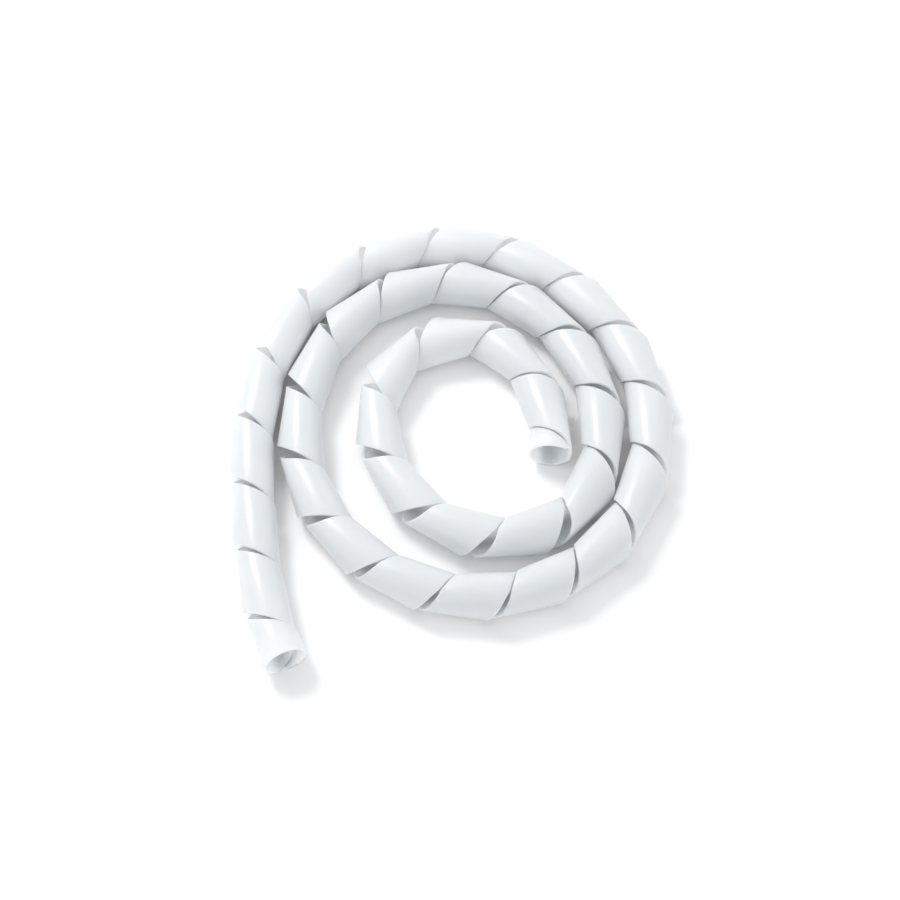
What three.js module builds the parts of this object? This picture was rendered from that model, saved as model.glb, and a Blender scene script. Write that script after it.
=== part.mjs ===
// Spiral cable wrap: a plastic tube cut right through along a helix, so that it winds around a
// bundle of wires. One metre of it lies loosely coiled on the floor.
// Millimetres, +Z up, floor at Z = 0. The tail lies at the front left and the tube runs clockwise
// from there into the middle of the coil.
import * as THREE from "three";

// The tube
const OUTER_DIAMETER = 15.7;
const WALL = 1.2;
const LENGTH = 1000;

// The helical cut
const PITCH = 27.2;
const BAND_WIDTH = 25.7;
const FIRST_SLIT = 28;
const TAIL_TIP = 0.8;
const INNER_TIP = 2.6;

// Where the bands lie further apart than the pitch they are also wider, by this share of the difference.
const STRETCH_SHARE = 0.5;

// How the bands sit: where the coil bends they open on the outside and meet on the inside, with a
// narrow seam. Each is turned a little, so its first edge stands out from the last edge before it.
const SEAM = 0.7;
const BAND_YAW = 2;

// The coil: guide points that the tube's middle line is drawn towards, chosen by hand for a tube
// of this diameter, and the room that neighbouring turns keep between them. The third number of each
// is how far the bands there lie along the tube from their even places, as a springy tube leaves them.
const GUIDE_DIAMETER = 16;
const TURN_CLEARANCE = 0.4;
const TAIL_START = 26.5;
const GUIDE = [
  [-19, -151, -4], [-47, -116, -5.5], [-67, -77, -7], [-73, -35, -8.5], [-77, 8, -7.5],
  [-67, 51, -3.5], [-36, 84, -0.5], [8, 93, 1.5], [48, 72, 3.5], [74, 36, 6], [78, -9, 9.5],
  [59, -50, 10], [17, -71, 4.5], [-26, -60, -1.5], [-56, -25, -3.5], [-59, 19, -1.5],
  [-41, 59, 0.5], [3, 77, -1.5], [42, 54, -4], [61, 14, 0.5], [52, -36, 2], [5, -48, -2.5],
  [-30, -13, -4], [-28, 37, -1], [18, 52, -1.5], [41, 9, -6], [34, -33, -7.5], [9, -60, -9],
];

// Fineness of the mesh
const STEPS_PER_TURN = 16;
const SHORTEST_STEP = 0.25 / STEPS_PER_TURN;
const ROUTE_STEPS = 24;
const LEAST_SHARE = 0.02;

const OUTER_RADIUS = OUTER_DIAMETER / 2;
const INNER_RADIUS = OUTER_RADIUS - WALL;
const GUIDE_SCALE = (OUTER_DIAMETER + TURN_CLEARANCE) / (GUIDE_DIAMETER + TURN_CLEARANCE);
const UP = new THREE.Vector3(0, 0, 1);

// A smooth curve guided by the points: place, direction and drift of the bands at position t of the list.
function guided(t) {
  const last = GUIDE.length - 4;
  const k = Math.min(Math.max(Math.floor(t), 0), last);
  const f = t - k;
  const place = [(1 - f) ** 3, 3 * f ** 3 - 6 * f ** 2 + 4, -3 * f ** 3 + 3 * f ** 2 + 3 * f + 1, f ** 3];
  const slope = [-((1 - f) ** 2), 3 * f ** 2 - 4 * f, -3 * f ** 2 + 2 * f + 1, f ** 2];
  const point = new THREE.Vector3();
  const along = new THREE.Vector3();
  let drift = 0;
  for (let i = 0; i < 4; i += 1) {
    const guide = new THREE.Vector3(GUIDE[k + i][0], GUIDE[k + i][1], 0).multiplyScalar(GUIDE_SCALE);
    point.addScaledVector(guide, place[i] / 6);
    along.addScaledVector(guide, slope[i] / 2);
    drift += GUIDE[k + i][2] * place[i] / 6;
  }
  point.z = OUTER_RADIUS;
  return { point, along: along.normalize(), drift };
}

// The distance along the curve, measured in short steps.
const measured = [0];
const measuredAt = [0];
const routeEnd = GUIDE.length - 3;
for (let i = 1; i <= routeEnd * ROUTE_STEPS; i += 1) {
  const before = guided((i - 1) / ROUTE_STEPS).point;
  const here = guided(i / ROUTE_STEPS).point;
  measured.push(measured[i - 1] + here.distanceTo(before));
  measuredAt.push(i / ROUTE_STEPS);
}

// The middle line at a distance from the tail's cut. Beyond the curve's ends it runs straight on.
function middleLine(distance) {
  const wanted = distance + TAIL_START;
  const whole = measured[measured.length - 1];
  const inside = Math.min(Math.max(wanted, 0), whole);
  let i = 1;
  while (i < measured.length - 1 && measured[i] < inside) {
    i += 1;
  }
  const share = (inside - measured[i - 1]) / (measured[i] - measured[i - 1]);
  const t = measuredAt[i - 1] + share * (measuredAt[i] - measuredAt[i - 1]);
  const { point, along, drift } = guided(t);
  point.addScaledVector(along, wanted - inside);
  const outward = new THREE.Vector3().crossVectors(UP, along);
  return { point, along, outward, drift };
}

const yaw = THREE.MathUtils.degToRad(BAND_YAW);

// Distance of the band's middle from the tail's cut, after a number of turns around the tube.
function bandMiddle(turns) {
  const even = FIRST_SLIT - PITCH / 2 + PITCH * turns;
  return even + middleLine(even).drift;
}

// The number of turns after which the band's middle is at a distance, found in a few short steps.
function turnsAt(distance) {
  let turns = 0;
  for (let i = 0; i < 20; i += 1) {
    turns += (distance - bandMiddle(turns)) / PITCH;
  }
  return turns;
}

// The share of a line across the band at which it reaches a flat cut square through the tube.
function reach(cut, start, line) {
  const gap = new THREE.Vector3().subVectors(cut.point, start);
  return gap.dot(cut.along) / line.dot(cut.along);
}

// One cross-section of the band: the corners at its first and last edge, outside and inside. It ends
// at its own edges, or before that at the seam with the next band or at the tube's own end.
function bandSection(turns) {
  const distance = bandMiddle(turns);
  const { point, along, outward } = middleLine(distance);
  const angle = 2 * Math.PI * turns;
  const side = new THREE.Vector3();
  side.addScaledVector(outward, Math.cos(angle));
  side.addScaledVector(UP, -Math.sin(angle));
  const across = new THREE.Vector3();
  across.addScaledVector(along, Math.cos(yaw));
  across.addScaledVector(side, -Math.sin(yaw) * Math.cos(angle));
  const spaceBefore = distance - bandMiddle(turns - 1);
  const spaceAfter = bandMiddle(turns + 1) - distance;
  const firstCut = middleLine(Math.max(0, distance - (spaceBefore - SEAM) / 2));
  const lastCut = middleLine(Math.min(LENGTH, distance + (spaceAfter - SEAM) / 2));
  const halfBefore = (BAND_WIDTH + STRETCH_SHARE * (spaceBefore - PITCH)) / 2;
  const halfAfter = (BAND_WIDTH + STRETCH_SHARE * (spaceAfter - PITCH)) / 2;
  const corners = [];
  for (const radius of [OUTER_RADIUS, INNER_RADIUS]) {
    const start = point.clone().addScaledVector(side, radius).addScaledVector(across, -halfBefore);
    const line = across.clone().multiplyScalar(halfBefore + halfAfter);
    const from = Math.max(0, reach(firstCut, start, line));
    const to = Math.max(from + LEAST_SHARE, Math.min(1, reach(lastCut, start, line)));
    corners.push(start.clone().addScaledVector(line, from));
    corners.push(start.clone().addScaledVector(line, to));
  }
  return corners;
}

// The turns at which the band's sections lie, from the blunt tip at the tail to the one inside.
const firstTurn = turnsAt(TAIL_TIP - BAND_WIDTH / 2);
const lastTurn = turnsAt(LENGTH - INNER_TIP + BAND_WIDTH / 2);
const stations = [firstTurn];
for (let i = Math.ceil(firstTurn * STEPS_PER_TURN); i <= lastTurn * STEPS_PER_TURN; i += 1) {
  const turns = i / STEPS_PER_TURN;
  if (Math.min(turns - firstTurn, lastTurn - turns) > SHORTEST_STEP) {
    stations.push(turns);
  }
}
stations.push(lastTurn);

// The closed band: its four long sides, and a small flat at each tip.
const positions = [];
for (const turns of stations) {
  for (const corner of bandSection(turns)) {
    positions.push(corner.x, corner.y, corner.z);
  }
}
const [FIRST_OUT, LAST_OUT, FIRST_IN, LAST_IN] = [0, 1, 2, 3];
const ring = [FIRST_OUT, LAST_OUT, LAST_IN, FIRST_IN];
const faces = [];
for (let i = 0; i < stations.length - 1; i += 1) {
  for (let j = 0; j < 4; j += 1) {
    const a = 4 * i + ring[j];
    const b = 4 * i + ring[(j + 1) % 4];
    faces.push(a, b, b + 4);
    faces.push(a, b + 4, a + 4);
  }
}
const end = 4 * (stations.length - 1);
faces.push(ring[0], ring[2], ring[1]);
faces.push(ring[0], ring[3], ring[2]);
faces.push(end + ring[0], end + ring[1], end + ring[2]);
faces.push(end + ring[0], end + ring[2], end + ring[3]);

const geometry = new THREE.BufferGeometry();
geometry.setAttribute("position", new THREE.Float32BufferAttribute(positions, 3));
geometry.setIndex(faces);
geometry.computeVertexNormals();

// The origin is on the floor, under the middle of the coil's outline.
geometry.computeBoundingBox();
const middle = geometry.boundingBox.getCenter(new THREE.Vector3());
geometry.translate(-middle.x, -middle.y, -geometry.boundingBox.min.z);

const plastic = new THREE.MeshStandardMaterial({ color: 0xe4e8ec, roughness: 0.35, metalness: 0 });
const spiralWrap = new THREE.Mesh(geometry, plastic);
spiralWrap.name = "spiral_wrap";

const group = new THREE.Group();
group.name = "spiral_cable_wrap";
group.add(spiralWrap);

export default group;
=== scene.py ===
# %% [markdown]
# # Spiral cable wrap
# A spiral wrap is a plastic tube that is cut right through along a helix. It is wound around a bundle
# of wires, and one wire can leave it at any slit. Here one metre of it lies in a loose flat coil.
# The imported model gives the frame: its box, its one body and the plain solid that this scene dresses.

# %% Load the frame
import math

import bpy
import bmesh
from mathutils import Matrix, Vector


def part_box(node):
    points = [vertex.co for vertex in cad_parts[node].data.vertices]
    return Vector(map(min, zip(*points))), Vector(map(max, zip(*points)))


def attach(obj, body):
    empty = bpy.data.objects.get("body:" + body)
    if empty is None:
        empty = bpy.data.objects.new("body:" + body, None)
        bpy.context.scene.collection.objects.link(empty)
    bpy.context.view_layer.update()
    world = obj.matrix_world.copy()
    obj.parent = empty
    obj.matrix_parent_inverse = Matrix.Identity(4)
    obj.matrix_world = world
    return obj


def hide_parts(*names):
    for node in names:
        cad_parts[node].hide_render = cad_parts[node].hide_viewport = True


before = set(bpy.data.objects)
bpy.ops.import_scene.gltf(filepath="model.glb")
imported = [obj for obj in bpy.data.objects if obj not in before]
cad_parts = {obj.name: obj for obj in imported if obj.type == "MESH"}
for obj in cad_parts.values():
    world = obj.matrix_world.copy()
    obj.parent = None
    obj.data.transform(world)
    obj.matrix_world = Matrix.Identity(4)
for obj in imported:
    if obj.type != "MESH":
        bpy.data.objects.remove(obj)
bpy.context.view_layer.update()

# %% [markdown]
# ## The sizes
# They are the sizes of the plain solid, in metres. The tube lies in a flat coil, and its middle line is
# a smooth curve that a list of guide points draws towards them. The points were chosen from the way
# in which the turns lie: the tail at the front left, then clockwise into the middle. A springy tube
# also stretches and twists a little when it is coiled, so its bands aren't quite evenly spaced. The third
# number of each point is how far the bands there lie from their even places. The points were set for a
# tube of the guide diameter, and are scaled with the real one, so that the turns stay clear of each other.
# The two tip sizes are the widths that the cuts through the tube's ends leave of the band's pointed tips.

# %% Sizes of the tube, of its cut and of its coil
MM = 0.001
OUTER_DIAMETER = 15.7 * MM
OUTER_RADIUS = OUTER_DIAMETER / 2
WALL = 1.2 * MM
LENGTH = 1000 * MM
PITCH = 27.2 * MM
BAND_WIDTH = 25.7 * MM
FIRST_SLIT = 28 * MM
STRETCH_SHARE = 0.5
SEAM = 0.7 * MM
BAND_YAW = math.radians(2)
TAIL_TIP = 0.8 * MM
INNER_TIP = 2.6 * MM
TAIL_START = 26.5 * MM
GUIDE_DIAMETER = 16 * MM
TURN_CLEARANCE = 0.4 * MM
GUIDE_SCALE = (OUTER_DIAMETER + TURN_CLEARANCE) / (GUIDE_DIAMETER + TURN_CLEARANCE)
GUIDE_MM = [
    (-19, -151, -4), (-47, -116, -5.5), (-67, -77, -7), (-73, -35, -8.5), (-77, 8, -7.5),
    (-67, 51, -3.5), (-36, 84, -0.5), (8, 93, 1.5), (48, 72, 3.5), (74, 36, 6), (78, -9, 9.5),
    (59, -50, 10), (17, -71, 4.5), (-26, -60, -1.5), (-56, -25, -3.5), (-59, 19, -1.5),
    (-41, 59, 0.5), (3, 77, -1.5), (42, 54, -4), (61, 14, 0.5), (52, -36, 2), (5, -48, -2.5),
    (-30, -13, -4), (-28, 37, -1), (18, 52, -1.5), (41, 9, -6), (34, -33, -7.5), (9, -60, -9),
]
print("outer diameter", round(OUTER_DIAMETER / MM, 1), "mm, pitch", round(PITCH / MM, 1), "mm")

# %% [markdown]
# ## The camera
# The coil is seen from the front and from well above, at 60 degrees, through a longish lens. The camera
# is made first, so that each later step can be judged in the photograph's frame. A product photographer
# stands about this far off: near enough for the far turns to look a little smaller than the near ones.
# It aims at a spot on the floor just in front of the coil's middle.

# %% Make the camera
ELEVATION = math.radians(60)
DISTANCE = 696 * MM
IMAGE_SIDE = 900
FOCAL_PIXELS = 1852
SENSOR_MM = 36
AIM = Vector((-1.14 * MM, -2.33 * MM, 0))

camera_data = bpy.data.cameras.new("camera")
camera_data.sensor_width = SENSOR_MM
camera_data.lens = SENSOR_MM * FOCAL_PIXELS / IMAGE_SIDE
camera = bpy.data.objects.new("camera", camera_data)
bpy.context.scene.collection.objects.link(camera)
camera.location = AIM + DISTANCE * Vector((0, -math.cos(ELEVATION), math.sin(ELEVATION)))
camera.rotation_euler = (math.pi / 2 - ELEVATION, 0, 0)
bpy.context.scene.camera = camera
print("lens", round(camera_data.lens, 1), "mm, camera at", [round(c, 3) for c in camera.location])

# %% [markdown]
# ## The middle line
# A NURBS curve of order four is pulled towards its points without passing through them, which gives the
# even bends of a springy tube. A Bezier curve would need handles, and could kink at each point. The
# curve lies flat, so its tilt has no other use, and carries how far the bands lie from their even places.

# %% Draw the middle line
route_data = bpy.data.curves.new("middle_line", "CURVE")
route_data.dimensions = "3D"
spline = route_data.splines.new("NURBS")
spline.points.add(len(GUIDE_MM) - 1)
for point, (x, y, drift) in zip(spline.points, GUIDE_MM):
    point.co = (x * MM * GUIDE_SCALE, y * MM * GUIDE_SCALE, OUTER_RADIUS, 1)
    point.tilt = drift * MM
spline.order_u = 4
spline.use_endpoint_u = False
spline.resolution_u = 32
route = bpy.data.objects.new("middle_line", route_data)
bpy.context.scene.collection.objects.link(route)
print("middle line:", len(spline.points), "guide points,", round(spline.calc_length(), 3), "m")

# %% [markdown]
# ## Distances along the middle line
# Blender draws the curve as short straight pieces. Adding up their lengths gives the distance of each of
# their corners from the tail's cut. The weights that draw a curve of order four also give the drift of
# the bands at any distance. With both, the turns of the tube at which the band's two tips lie are found.

# %% Measure the middle line
line_mesh = bpy.data.meshes.new_from_object(route)
corners = [vertex.co.copy() for vertex in line_mesh.vertices]
bpy.data.meshes.remove(line_mesh)
run = [-TAIL_START]
for before, here in zip(corners, corners[1:]):
    run.append(run[-1] + (here - before).length)
print("middle line:", len(corners), "corners, the last at", round(run[-1], 4), "m")


def corner_before(distance):
    """The last corner before a distance, and the share of the way from there to the next corner."""
    after = next(i for i, reached in enumerate(run) if reached > distance)
    return after - 1, (distance - run[after - 1]) / (run[after] - run[after - 1])


def drift_at(distance):
    """How far the bands lie from their even places, at a distance from the tail's cut."""
    i, part = corner_before(distance)
    t = (i + part) * (len(GUIDE_MM) - 3) / (len(corners) - 1)
    k = int(t)
    f = t - k
    weights = ((1 - f) ** 3, 3 * f ** 3 - 6 * f ** 2 + 4, -3 * f ** 3 + 3 * f ** 2 + 3 * f + 1, f ** 3)
    return sum(weight * drift for weight, (_, _, drift) in zip(weights, GUIDE_MM[k:k + 4])) / 6 * MM


# %% Find the turns at which the band's tips lie
def turns_at(distance):
    """The number of turns after which the band's middle is at a distance, found in short steps."""
    turns = 0
    for _ in range(20):
        even = FIRST_SLIT + PITCH * (turns - 0.5)
        turns += (distance - even - drift_at(even)) / PITCH
    return turns


FIRST_TURN = turns_at(TAIL_TIP - BAND_WIDTH / 2)
LAST_TURN = turns_at(LENGTH - INNER_TIP + BAND_WIDTH / 2)
print("the band runs from turn", round(FIRST_TURN, 4), "to turn", round(LAST_TURN, 4))

# %% [markdown]
# ## How the strip is wound
# The wrap can be thought of as a flat strip that is wound along the middle line. Geometry Nodes do it
# in that order. First a straight strip is swept, with its real width, wall and rounded edges. Then each
# of its points is moved: its place along the strip says how far around and along the tube it belongs,
# and its place across the strip says how far along the tube's axis from there.
# Modelling each band by hand would lose the even pitch, and an array of bands would not join up.

# %% Small helpers that add one node each
class Tree:
    """A node tree, with one short call for each node that is added and wired."""

    def __init__(self, tree):
        self.nodes = tree.nodes
        self.links = tree.links

    def add(self, kind, inputs=(), **settings):
        """A new node with its settings. An input that is another node's output is wired to it."""
        node = self.nodes.new(kind)
        for name, value in settings.items():
            setattr(node, name, value)
        for key, value in dict(inputs).items():
            if isinstance(value, bpy.types.NodeSocket):
                self.links.new(value, node.inputs[key])
            else:
                node.inputs[key].default_value = value
        return node

    def math(self, operation, *values):
        """The result of one sum with numbers."""
        return self.add("ShaderNodeMath", dict(enumerate(values)), operation=operation).outputs[0]

    def vector(self, operation, *values):
        """The result of one sum with vectors. Only a dot product gives a number."""
        node = self.add("ShaderNodeVectorMath", dict(enumerate(values)), operation=operation)
        return node.outputs["Value" if operation == "DOT_PRODUCT" else "Vector"]

    def scaled(self, vector, by):
        """A vector made longer or shorter."""
        node = self.add("ShaderNodeVectorMath", {"Vector": vector, "Scale": by}, operation="SCALE")
        return node.outputs["Vector"]

    def total(self, first, *rest):
        """Several vectors added up."""
        for vector in rest:
            first = self.vector("ADD", first, vector)
        return first


# %% Start the winding tree, with its sizes as named inputs
EDGE_ROUND = 0.25 * MM
SECTIONS_PER_TURN = 64

winding = bpy.data.node_groups.new("wind_strip", "GeometryNodeTree")
winding.interface.new_socket("Geometry", in_out="OUTPUT", socket_type="NodeSocketGeometry")
SIZES = {
    "Outer Radius": OUTER_RADIUS,
    "Wall": WALL,
    "Length": LENGTH,
    "Pitch": PITCH,
    "Band Width": BAND_WIDTH,
    "First Slit": FIRST_SLIT,
    "Stretch Share": STRETCH_SHARE,
    "Seam": SEAM,
    "Yaw": BAND_YAW,
    "First Turn": FIRST_TURN,
    "Last Turn": LAST_TURN,
    "Tail Start": TAIL_START,
    "Edge Round": EDGE_ROUND,
    "Sections": SECTIONS_PER_TURN,
}
for name, value in SIZES.items():
    kind = "NodeSocketInt" if isinstance(value, int) else "NodeSocketFloat"
    winding.interface.new_socket(name, in_out="INPUT", socket_type=kind).default_value = value
winding.interface.new_socket("Route", in_out="INPUT", socket_type="NodeSocketObject")
winding.interface.new_socket("Material", in_out="INPUT", socket_type="NodeSocketMaterial")
t = Tree(winding)
size = t.add("NodeGroupInput").outputs
print("winding tree inputs:", ", ".join(SIZES))

# %% [markdown]
# ## The straight strip
# Its length is counted in turns around the tube, from the tip at the tail to the tip inside the coil.
# The strip is swept along a straight line, with a rounded rectangle as its section and closed caps, so
# what comes out is already one closed body.

# %% Sweep the straight strip
ROUNDING_STEPS = 3
turns_in_all = t.math("SUBTRACT", size["Last Turn"], size["First Turn"])
line_end = t.add("ShaderNodeCombineXYZ", {"X": turns_in_all}).outputs[0]
line = t.add("GeometryNodeCurvePrimitiveLine", {"End": line_end}).outputs[0]
count = t.math("MULTIPLY", turns_in_all, size["Sections"])
line = t.add("GeometryNodeResampleCurve", {"Curve": line, "Count": count}).outputs[0]
sides = {"Width": size["Band Width"], "Height": size["Wall"]}
section = t.add("GeometryNodeCurvePrimitiveQuadrilateral", sides).outputs[0]
rounding = {"Curve": section, "Count": ROUNDING_STEPS, "Radius": size["Edge Round"]}
section = t.add("GeometryNodeFilletCurve", rounding, mode="POLY").outputs[0]
sweep = {"Curve": line, "Profile Curve": section, "Fill Caps": True}
strip = t.add("GeometryNodeCurveToMesh", sweep).outputs[0]

# %% [markdown]
# ## Each point's place on the tube
# A curve's Sample node gives the place and the direction at any distance along the middle line, and the
# drift of the bands there. From these come the outward direction in the floor's plane and the direction
# from the tube's middle to the point. The helix is left-handed: with growing distance it runs from the
# outside under the tube to the inside, and over the top back to the outside.

# %% Find where each point of the strip belongs
UP = (0, 0, 1)
place = t.add("ShaderNodeSeparateXYZ", {"Vector": t.add("GeometryNodeInputPosition").outputs[0]}).outputs
turns = t.math("ADD", place["X"], size["First Turn"])
route_line = t.add("GeometryNodeObjectInfo", {"Object": size["Route"]}).outputs["Geometry"]
route_tilt = t.add("GeometryNodeInputCurveTilt").outputs[0]


def sampled(at):
    """The middle line's place, direction and drift at a distance from the tail's cut."""
    wanted = t.math("ADD", at, size["Tail Start"])
    wiring = {"Curves": route_line, "Value": route_tilt, "Length": wanted}
    node = t.add("GeometryNodeSampleCurve", wiring, mode="LENGTH")
    return node.outputs["Position"], node.outputs["Tangent"], node.outputs["Value"]


def band_distance(turns):
    """The distance of the band's middle from the tail's cut, after a number of turns."""
    even = t.math("MULTIPLY", size["Pitch"], t.math("SUBTRACT", turns, 0.5))
    even = t.math("ADD", size["First Slit"], even)
    return t.math("ADD", even, sampled(even)[2])


distance = band_distance(turns)
middle, along, _ = sampled(distance)
angle = t.math("MULTIPLY", turns, math.tau)
cosine = t.math("COSINE", angle)
sine = t.math("SINE", angle)
depth = t.math("SUBTRACT", t.math("MULTIPLY", size["Wall"], 0.5), place["Z"])
share = t.math("ADD", t.math("DIVIDE", place["Y"], size["Band Width"]), 0.5)
outward = t.vector("CROSS_PRODUCT", UP, along)
side = t.total(t.scaled(outward, cosine), t.scaled(UP, t.math("MULTIPLY", sine, -1.0)))

# %% [markdown]
# ## The line across the band
# At each angle the band is straight across, as on the real tube, so a bend shows as a row of short
# straight bands. On the outside of a bend they open, and on the inside they meet at a seam. Each band is
# also turned a little, so its first edge stands out from the last edge before it. The lines end at the
# band's own edges, at the seams, or at the two flat ends, whichever comes first.

# %% Lay the line across the band
def half_width(space):
    """Half the band's width on the side of a neighbour that is this far away."""
    stretch = t.math("MULTIPLY", size["Stretch Share"], t.math("SUBTRACT", space, size["Pitch"]))
    return t.math("MULTIPLY", t.math("ADD", size["Band Width"], stretch), 0.5)


space_before = t.math("SUBTRACT", distance, band_distance(t.math("SUBTRACT", turns, 1.0)))
space_after = t.math("SUBTRACT", band_distance(t.math("ADD", turns, 1.0)), distance)
half_before = half_width(space_before)
half_after = half_width(space_after)
bare_radius = t.math("SUBTRACT", size["Outer Radius"], depth)
lean = t.math("MULTIPLY", t.math("SINE", size["Yaw"]), t.math("MULTIPLY", cosine, -1.0))
across = t.total(t.scaled(along, t.math("COSINE", size["Yaw"])), t.scaled(side, lean))
start = t.total(middle, t.scaled(side, bare_radius), t.scaled(across, t.math("MULTIPLY", half_before, -1.0)))
line_across = t.scaled(across, t.math("ADD", half_before, half_after))


# %% Cut it off at the seams and at the ends
def share_at(at):
    """The share of the line across at which it meets a flat cut square through the tube."""
    cut_place, cut_along, _ = sampled(at)
    gap = t.vector("DOT_PRODUCT", t.vector("SUBTRACT", cut_place, start), cut_along)
    return t.math("DIVIDE", gap, t.vector("DOT_PRODUCT", line_across, cut_along))


def seam_away(space):
    """How far the band's own side of the seam lies from its middle."""
    return t.math("MULTIPLY", t.math("SUBTRACT", space, size["Seam"]), 0.5)


LEAST_SHARE = 0.02
first_cut = t.math("MAXIMUM", t.math("SUBTRACT", distance, seam_away(space_before)), 0.0)
last_cut = t.math("MINIMUM", t.math("ADD", distance, seam_away(space_after)), size["Length"])
share_from = t.math("MAXIMUM", share_at(first_cut), 0.0)
share_to = t.math("MINIMUM", share_at(last_cut), 1.0)
share_to = t.math("MAXIMUM", share_to, t.math("ADD", share_from, LEAST_SHARE))
share_left = t.math("SUBTRACT", share_to, share_from)
share_cut = t.math("ADD", share_from, t.math("MULTIPLY", share, share_left))
wound = t.total(start, t.scaled(line_across, share_cut))

# %% [markdown]
# ## What the finish needs to know
# Three facts of each point are stored on the mesh before it is moved: where it lies around and along
# the tube, how near it is to a cut edge, and whether it is on the inside. The material reads them, so
# its fine lines run along the tube from band to band, as the die that shaped the tube left them.

# %% Store the facts, move the points and end the tree
around = t.add("ShaderNodeCombineXYZ", {"X": cosine, "Y": sine, "Z": distance}).outputs[0]
edge = t.math("ABSOLUTE", t.math("SUBTRACT", t.math("MULTIPLY", share, 2.0), 1.0))
inner = t.math("DIVIDE", depth, size["Wall"])
facts = (("around", "FLOAT_VECTOR", around), ("edge", "FLOAT", edge), ("inner", "FLOAT", inner))
for name, kind, value in facts:
    fact = {"Geometry": strip, "Name": name, "Value": value}
    strip = t.add("GeometryNodeStoreNamedAttribute", fact, data_type=kind).outputs[0]
strip = t.add("GeometryNodeSetPosition", {"Geometry": strip, "Position": wound}).outputs[0]
strip = t.add("GeometryNodeRealizeInstances", {"Geometry": strip}).outputs[0]
strip = t.add("GeometryNodeSetMaterial", {"Geometry": strip, "Material": size["Material"]}).outputs[0]
t.add("NodeGroupOutput", {"Geometry": strip})
print("winding tree:", len(winding.nodes), "nodes")

# %% [markdown]
# ## The plastic
# The wrap is natural polyethylene: milky white, a little blue, glossy but not mirror-like. Light goes
# into it and comes out again softly, so its thin wall never looks like paint. Subsurface scattering
# gives that. The inside lies in its own shade and looks bluer and greyer through the slits. Its colour
# there is painted light and shade: lighter than the outside, for the daylight that comes through the
# thin wall, and bluer, for the tint of its shade. A faint glow there is painted light as well and stands
# for that daylight from all sides. It is too weak to be worth sampling as a light, which would only
# slow the picture down.

# %% Make the plastic
LIGHT_BEND = 1.51
SOFT_RADIUS = (1.15, 1.05, 1.0)
SOFT_DEPTH = 5 * MM

plastic = bpy.data.materials.new("wrap_plastic")
plastic.use_nodes = True
m = Tree(plastic.node_tree)
shader = next(node for node in m.nodes if node.type == "BSDF_PRINCIPLED")
shader.inputs["IOR"].default_value = LIGHT_BEND
shader.inputs["Subsurface Weight"].default_value = 1.0
shader.inputs["Subsurface Radius"].default_value = SOFT_RADIUS
shader.inputs["Subsurface Scale"].default_value = SOFT_DEPTH
around_fact = m.add("ShaderNodeAttribute", attribute_name="around").outputs["Vector"]
edge_fact = m.add("ShaderNodeAttribute", attribute_name="edge").outputs["Fac"]
inner_fact = m.add("ShaderNodeAttribute", attribute_name="inner").outputs["Fac"]
spot = m.add("ShaderNodeTexCoord").outputs["Object"]

# %% Colour: cloudy milk white outside, painted light and shade inside, a painted highlight along the cut
MILK_DARK = (0.745, 0.755, 0.77, 1)
MILK_LIGHT = (0.80, 0.805, 0.815, 1)
# Painted light and shade: the inside is lighter than the outside for light through the wall, and bluer for
# its shade.
INSIDE_PAINTED_LIGHT_AND_SHADE = (0.86, 0.905, 0.93, 1)
# Painted highlight: the cut edges are lighter, as where the cut face catches the light.
CUT_PAINTED_HIGHLIGHT = (0.86, 0.885, 0.90, 1)
# Painted light: how strongly the inside glows, standing for daylight through the thin wall.
PAINTED_GLOW_THROUGH_WALL = 0.045
CLOUD_SCALE = 45.0
INSIDE_FROM, INSIDE_TO = 0.35, 0.95
CUT_FROM, CUT_TO = 0.965, 0.99


def blend(share, first, last):
    """A colour between two others. The Mix node's inputs 6 and 7 are its two colours."""
    return m.add("ShaderNodeMix", {"Factor": share, 6: first, 7: last}, data_type="RGBA").outputs[2]


def ramp(value, low, high):
    """The share of the way from low to high."""
    return m.add("ShaderNodeMapRange", {"Value": value, "From Min": low, "From Max": high}).outputs[0]


cloud = m.add("ShaderNodeTexNoise", {"Vector": spot, "Scale": CLOUD_SCALE, "Detail": 3.0}).outputs["Fac"]
outer_tint = blend(cloud, MILK_DARK, MILK_LIGHT)
# The inner face gets the painted light and shade colour.
inside_painted_light_share = ramp(inner_fact, INSIDE_FROM, INSIDE_TO)
wall_tint_with_painted_light = blend(inside_painted_light_share, outer_tint, INSIDE_PAINTED_LIGHT_AND_SHADE)
# Painted highlight along the cut; the same share also makes the cut rougher.
cut_highlight_and_rough_share = ramp(edge_fact, CUT_FROM, CUT_TO)
tint = blend(cut_highlight_and_rough_share, wall_tint_with_painted_light, CUT_PAINTED_HIGHLIGHT)
m.links.new(tint, shader.inputs["Base Color"])
# Painted light: the inside glows faintly, standing for daylight through the thin wall.
glow = m.math("MULTIPLY", inside_painted_light_share, PAINTED_GLOW_THROUGH_WALL)
m.links.new(glow, shader.inputs["Emission Strength"])
shader.inputs["Emission Color"].default_value = INSIDE_PAINTED_LIGHT_AND_SHADE
plastic.cycles.emission_sampling = "NONE"

# %% Surface: fine lines along the tube, and a duller cut
LINES_AROUND_AND_ALONG = (9.0, 9.0, 6.0)
LINE_SCALE = 1.6
SMOOTHEST, ROUGHEST = 0.16, 0.26
CUT_ROUGHER = 0.18
LINE_STRENGTH = 0.25
LINE_HEIGHT = 0.15 * MM

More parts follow.
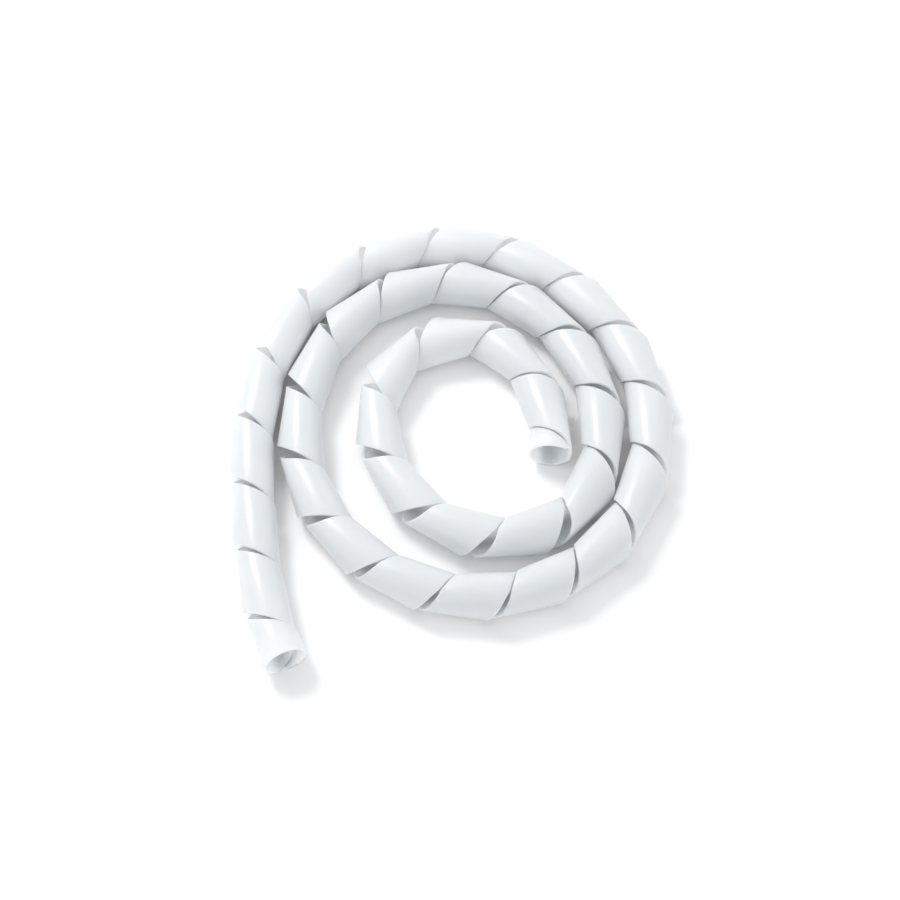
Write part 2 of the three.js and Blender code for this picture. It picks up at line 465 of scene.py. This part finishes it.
line_spot = m.vector("MULTIPLY", around_fact, LINES_AROUND_AND_ALONG)
line_noise = {"Vector": line_spot, "Scale": LINE_SCALE, "Detail": 4.0}
die_lines = m.add("ShaderNodeTexNoise", line_noise).outputs["Fac"]
rough_range = {"Value": die_lines, "To Min": SMOOTHEST, "To Max": ROUGHEST}
rough = m.add("ShaderNodeMapRange", rough_range).outputs[0]
rough = m.math("ADD", rough, m.math("MULTIPLY", cut_highlight_and_rough_share, CUT_ROUGHER))
m.links.new(rough, shader.inputs["Roughness"])
bump = m.add("ShaderNodeBump", {"Height": die_lines, "Strength": LINE_STRENGTH, "Distance": LINE_HEIGHT})
m.links.new(bump.outputs[0], shader.inputs["Normal"])
print("plastic:", len(m.nodes), "nodes")

# %% [markdown]
# ## Winding the wrap
# The modifier's inputs are set by their identifiers, and the evaluated result becomes a plain mesh. The
# mesh is then moved so that the coil's middle stands over the origin, as the plain solid's does.

# %% Wind the wrap
maker = bpy.data.objects.new("wrap_maker", bpy.data.meshes.new("wrap_maker"))
bpy.context.scene.collection.objects.link(maker)
modifier = maker.modifiers.new("winding", "NODES")
modifier.node_group = winding
chosen = {"Route": route, "Material": plastic}
for item in winding.interface.items_tree:
    if item.in_out == "INPUT":
        modifier[item.identifier] = chosen.get(item.name, SIZES.get(item.name))
evaluated = maker.evaluated_get(bpy.context.evaluated_depsgraph_get())
mesh = bpy.data.meshes.new_from_object(evaluated)
bpy.data.objects.remove(maker)
print("wound mesh:", len(mesh.vertices), "points,", len(mesh.polygons), "faces")

# %% Set it down where the plain solid lies
low = Vector([min(v.co[k] for v in mesh.vertices) for k in range(3)])
high = Vector([max(v.co[k] for v in mesh.vertices) for k in range(3)])
cad_low, cad_high = (Vector(corner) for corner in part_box("spiral_wrap"))
moved = (cad_low + cad_high) / 2 - (low + high) / 2
for vertex in mesh.vertices:
    vertex.co += moved
built = bmesh.new()
built.from_mesh(mesh)
bmesh.ops.recalc_face_normals(built, faces=built.faces)
open_edges = sum(not edge.is_manifold for edge in built.edges)
print("volume", round(built.calc_volume() * 1e6, 2), "cm3, open edges", open_edges)
built.to_mesh(mesh)
built.free()
wrap = bpy.data.objects.new("spiral_wrap_band", mesh)
bpy.context.scene.collection.objects.link(wrap)
for polygon in mesh.polygons:
    polygon.use_smooth = True
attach(wrap, "root")
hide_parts("spiral_wrap")
print("moved by", [round(c * 1000, 2) for c in moved], "mm")

# %% [markdown]
# ## A flexible length of tube
# The helical cut lets the springy tube bend easily. Once the wrap is wound, the middle line has done its
# work, and is kept out of the picture.

# %% Keep the middle line out of the picture
route.hide_render = True

# %% [markdown]
# ## The studio
# The photograph was taken in very soft light on white. A pale floor and a bright, even surround leave only
# faint shade, mostly inside the slits. One window light at the back left draws the pale streaks along the
# bands. The picture's tones are left as they are lit, without a film-like curve, so that white stays white.

# %% Make the floor
FLOOR_HALF = 3.0
FLOOR_WHITE = (0.97, 0.97, 0.97, 1)
FLOOR_ROUGHNESS = 0.9

floor_mesh = bpy.data.meshes.new("floor")
floor_corners = [(x * FLOOR_HALF, y * FLOOR_HALF, 0) for x, y in ((-1, -1), (1, -1), (1, 1), (-1, 1))]
floor_mesh.from_pydata(floor_corners, [], [(0, 1, 2, 3)])
floor = bpy.data.objects.new("floor", floor_mesh)
bpy.context.scene.collection.objects.link(floor)
floor_paint = bpy.data.materials.new("floor_paint")
floor_paint.use_nodes = True
floor_shader = next(node for node in floor_paint.node_tree.nodes if node.type == "BSDF_PRINCIPLED")
floor_shader.inputs["Base Color"].default_value = FLOOR_WHITE
floor_shader.inputs["Roughness"].default_value = FLOOR_ROUGHNESS
floor_mesh.materials.append(floor_paint)
print("floor", [round(side, 2) for side in floor.dimensions])

# %% Make the window light, which looks at the middle of the floor
WINDOW_PLACE = Vector((-0.6, 0.65, 1.05))
WINDOW_SIDE = 0.42
WINDOW_WATTS = 8

window_data = bpy.data.lights.new("window", "AREA")
window_data.shape = "SQUARE"
window_data.size = WINDOW_SIDE
window_data.energy = WINDOW_WATTS
window = bpy.data.objects.new("window", window_data)
window.location = WINDOW_PLACE
window.rotation_euler = (-WINDOW_PLACE).to_track_quat("-Z", "Y").to_euler()
bpy.context.scene.collection.objects.link(window)
print("window light", WINDOW_WATTS, "W")

# %% Make the surround
SURROUND_WHITE = (0.965, 0.975, 0.985, 1)
SURROUND_STRENGTH = 0.9

world = bpy.data.worlds.new("studio")
world.use_nodes = True
surround = world.node_tree.nodes["Background"]
surround.inputs["Color"].default_value = SURROUND_WHITE
surround.inputs["Strength"].default_value = SURROUND_STRENGTH
bpy.context.scene.world = world
bpy.context.scene.view_settings.view_transform = "Standard"
